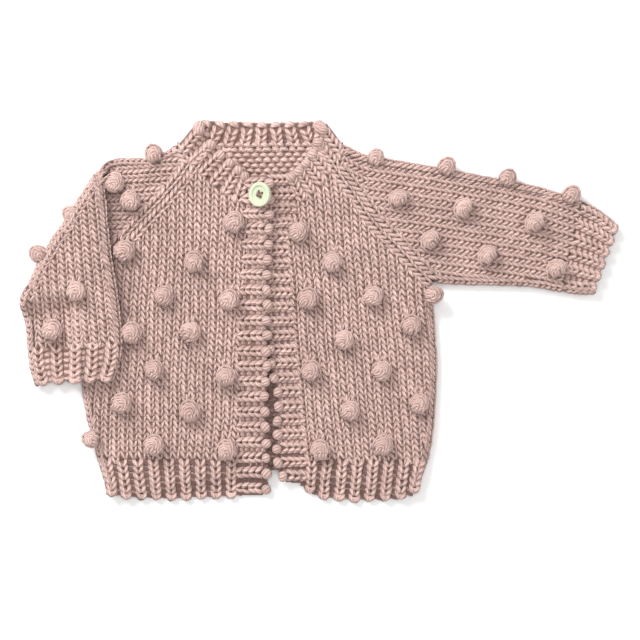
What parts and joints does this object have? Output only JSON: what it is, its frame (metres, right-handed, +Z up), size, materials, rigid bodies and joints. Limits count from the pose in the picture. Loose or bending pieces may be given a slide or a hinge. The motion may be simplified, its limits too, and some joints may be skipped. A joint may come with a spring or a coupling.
{
  "type": "baby cardigan",
  "caption": "Chunky hand-knitted baby cardigan with bobbles, ribbed bands, cuffs, hems and neckband, one button at the neck, laid flat with one sleeve folded over.",
  "frame": {"origin": "middle of the bounding box, on the surface that the cardigan lies on", "axes": "+X along the spread sleeve to the viewer's right (the wearer's left), +Y from the hems to the neck, +Z up from the surface"},
  "size_m": [0.4547, 0.2901, 0.0236],
  "materials": {
    "wool": "dusty pink plied wool yarn, hand-knitted, matte and a little fuzzy",
    "button": "pale green-cream moulded button with a soft shine",
    "thread": "brown-rose sewing thread, matte"
  },
  "bodies": {
    "root": {"back": "wool", "hem_back": "wool", "right_front": "wool", "left_front": "wool", "hem_right_front": "wool", "hem_left_front": "wool", "right_band": "wool", "left_band": "wool", "neckband": "wool", "right_sleeve_upper": "wool", "right_sleeve_lower": "wool", "right_cuff": "wool", "left_sleeve": "wool", "left_cuff": "wool", "button": "button", "button_thread": "thread"}
  },
  "joints": []
}
